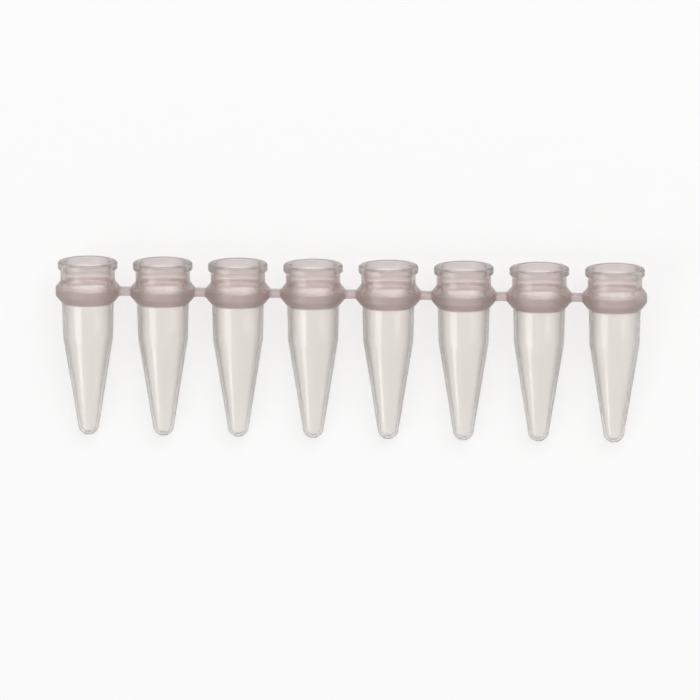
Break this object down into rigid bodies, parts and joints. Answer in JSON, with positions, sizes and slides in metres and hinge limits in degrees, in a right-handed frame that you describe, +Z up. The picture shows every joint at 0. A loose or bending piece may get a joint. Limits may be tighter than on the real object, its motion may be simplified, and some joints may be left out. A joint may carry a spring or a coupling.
{
  "type": "pcr tube strip",
  "caption": "Row of small thin-walled conical tubes with open mouths, joined at their collars, in pale pink clear plastic, for heating small samples in a cycler block.",
  "frame": {"origin": "centre of the strip's footprint, on the surface that it lies on", "axes": "+X along the row of tubes, -Y the way the mouths look, +Z up; the strip lies on its side and the tubes' axes rise 9.18 degrees towards the mouths"},
  "size_m": [0.0706, 0.0214, 0.0079],
  "materials": {
    "pink_clear_plastic": "clear pale pink polypropylene, glossy"
  },
  "bodies": {
    "root": {"tube_strip": "pink_clear_plastic"}
  },
  "joints": []
}
